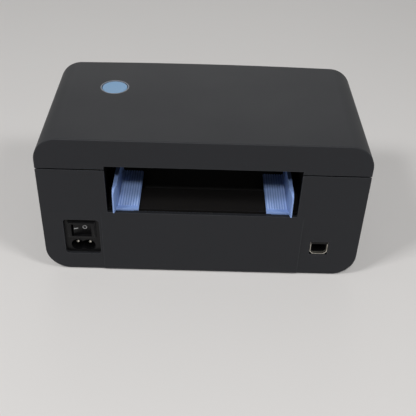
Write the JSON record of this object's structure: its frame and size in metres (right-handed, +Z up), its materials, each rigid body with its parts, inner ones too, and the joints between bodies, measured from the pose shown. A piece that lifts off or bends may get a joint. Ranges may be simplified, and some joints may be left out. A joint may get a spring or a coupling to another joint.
{
  "type": "thermal label printer",
  "caption": "Desktop thermal label printer: rear label slot with sliding guides, hinged cover with sprung print head, geared platen roller, mains inlet with rocker, data socket.",
  "frame": {"origin": "on the table, under the middle of the printer's box", "axes": "+Z up; -Y is the front, where labels come out; +Y is the rear with the label slot; +X is the left side of the picture, with the power inlet"},
  "size_m": [0.218, 0.113, 0.1085],
  "materials": {
    "case_plastic": "fine textured, matt",
    "bay_plastic": "matt black",
    "guide_plastic": "satin blue",
    "button_plastic": "satin pale blue",
    "light_ring": "clear grey, polished",
    "black_plastic": "satin black",
    "gear_plastic": "natural acetal",
    "foot_rubber": "matt",
    "roller_rubber": "ground matt",
    "steel": "turned and plated",
    "bronze": "sintered",
    "screw_steel": "zinc plated",
    "spring_steel": "drawn wire",
    "sink_aluminium": "milled",
    "head_ceramic": "glazed",
    "plated_contact": "nickel plated",
    "socket_plastic": "moulded",
    "circuit_board": "solder resist",
    "winding_tape": "polyester tape",
    "capacitor_sleeve": "shrink sleeve",
    "lead_insulation": "insulated wire"
  },
  "bodies": {
    "base": {"base_shell": "case_plastic", "bottom_plate": "case_plastic", "bottom_screws": "screw_steel", "rubber_feet": "foot_rubber", "chassis": "bay_plastic", "gap_sensor": "black_plastic", "hinge_pin_left": "steel", "hinge_pin_right": "steel", "rack_cover": "bay_plastic", "rack_cover_screws": "screw_steel", "pinion_pin": "steel", "platen_bush_left": "bronze", "platen_bush_right": "bronze", "idler_stud": "steel", "motor": "steel", "motor_screws": "screw_steel", "inlet_housing": "black_plastic", "inlet_contacts": "plated_contact", "supply_board": "circuit_board", "supply_screws": "screw_steel", "transformer": "winding_tape", "capacitors": "capacitor_sleeve", "power_leads": "lead_insulation", "main_board": "circuit_board", "board_screws": "screw_steel", "board_chips": "black_plastic", "board_headers": "gear_plastic", "usb_shell": "plated_contact", "usb_tongue": "socket_plastic", "release_spring_left": "spring_steel", "release_spring_right": "spring_steel"},
    "cover": {"cover": "case_plastic", "head_bracket": "steel", "bracket_screws": "screw_steel", "head_pin": "steel", "tear_bar": "steel", "feed_ring": "light_ring", "feed_board": "circuit_board", "feed_screws": "screw_steel", "feed_switch": "black_plastic", "head_springs": "spring_steel", "feed_spring": "spring_steel"},
    "head": {"heat_sink": "sink_aluminium", "print_head": "head_ceramic"},
    "feed_button": {"feed_button": "button_plastic"},
    "platen": {"platen_shaft": "steel", "platen_rubber": "roller_rubber", "platen_gear": "gear_plastic"},
    "idler": {"idler_gear": "gear_plastic"},
    "motor_rotor": {"motor_pinion": "steel"},
    "guide_left": {"guide_left": "guide_plastic"},
    "guide_right": {"guide_right": "guide_plastic"},
    "guide_pinion": {"guide_pinion": "gear_plastic"},
    "rocker": {"power_rocker": "black_plastic"},
    "release_left": {"release_button_left": "guide_plastic"},
    "release_right": {"release_button_right": "guide_plastic"}
  },
  "joints": [
    {"name": "cover_hinge", "type": "hinge", "parent": "base", "child": "cover", "pos_m": [0, 0.0495, 0.0921], "axis": [-1, 0, 0], "range_deg": [0, 80]},
    {"name": "head_pivot", "type": "hinge", "parent": "cover", "child": "head", "pos_m": [0, -0.029, 0.0915], "axis": [-1, 0, 0], "range_deg": [0, 2.5], "stiffness_Nm_per_rad": 1.2, "springref_deg": -8.59, "deforming": ["head_springs"]},
    {"name": "feed_press", "type": "slide", "parent": "cover", "child": "feed_button", "axis": [0, 0, -1], "range_m": [0, 0.0008], "stiffness_N_per_m": 500, "springref_m": -0.001, "deforming": ["feed_spring"]},
    {"name": "platen_spin", "type": "hinge", "parent": "base", "child": "platen", "pos_m": [0, -0.042, 0.077], "axis": [1, 0, 0], "continuous": true},
    {"name": "idler_spin", "type": "hinge", "parent": "base", "child": "idler", "pos_m": [0, -0.037, 0.05846], "axis": [1, 0, 0], "continuous": true},
    {"name": "motor_spin", "type": "hinge", "parent": "base", "child": "motor_rotor", "pos_m": [0, -0.029, 0.04369], "axis": [1, 0, 0], "continuous": true},
    {"name": "guide_left_slide", "type": "slide", "parent": "base", "child": "guide_left", "axis": [-1, 0, 0], "range_m": [0, 0.037]},
    {"name": "guide_right_slide", "type": "slide", "parent": "base", "child": "guide_right", "axis": [1, 0, 0], "range_m": [0, 0.037]},
    {"name": "guide_pinion_spin", "type": "hinge", "parent": "base", "child": "guide_pinion", "pos_m": [0, 0.04, 0.046], "axis": [0, 0, 1], "range_deg": [0, 295]},
    {"name": "rocker_tilt", "type": "hinge", "parent": "base", "child": "rocker", "pos_m": [0.0821, 0.0482, 0.034], "axis": [0, 0, -1], "range_deg": [0, 18]},
    {"name": "release_left_press", "type": "slide", "parent": "base", "child": "release_left", "axis": [-1, 0, 0], "range_m": [0, 0.0025], "stiffness_N_per_m": 400, "springref_m": -0.003, "deforming": ["release_spring_left"]},
    {"name": "release_right_press", "type": "slide", "parent": "base", "child": "release_right", "axis": [1, 0, 0], "range_m": [0, 0.0025], "stiffness_N_per_m": 400, "springref_m": -0.003, "deforming": ["release_spring_right"]}
  ],
  "couplings": [
    {"joint": "idler_spin", "follows": "platen_spin", "ratio": -0.71429},
    {"joint": "motor_spin", "follows": "platen_spin", "ratio": 1.4286},
    {"joint": "guide_right_slide", "follows": "guide_left_slide", "ratio": 1},
    {"joint": "guide_pinion_spin", "follows": "guide_left_slide", "rad_per_m": 138.89}
  ]
}
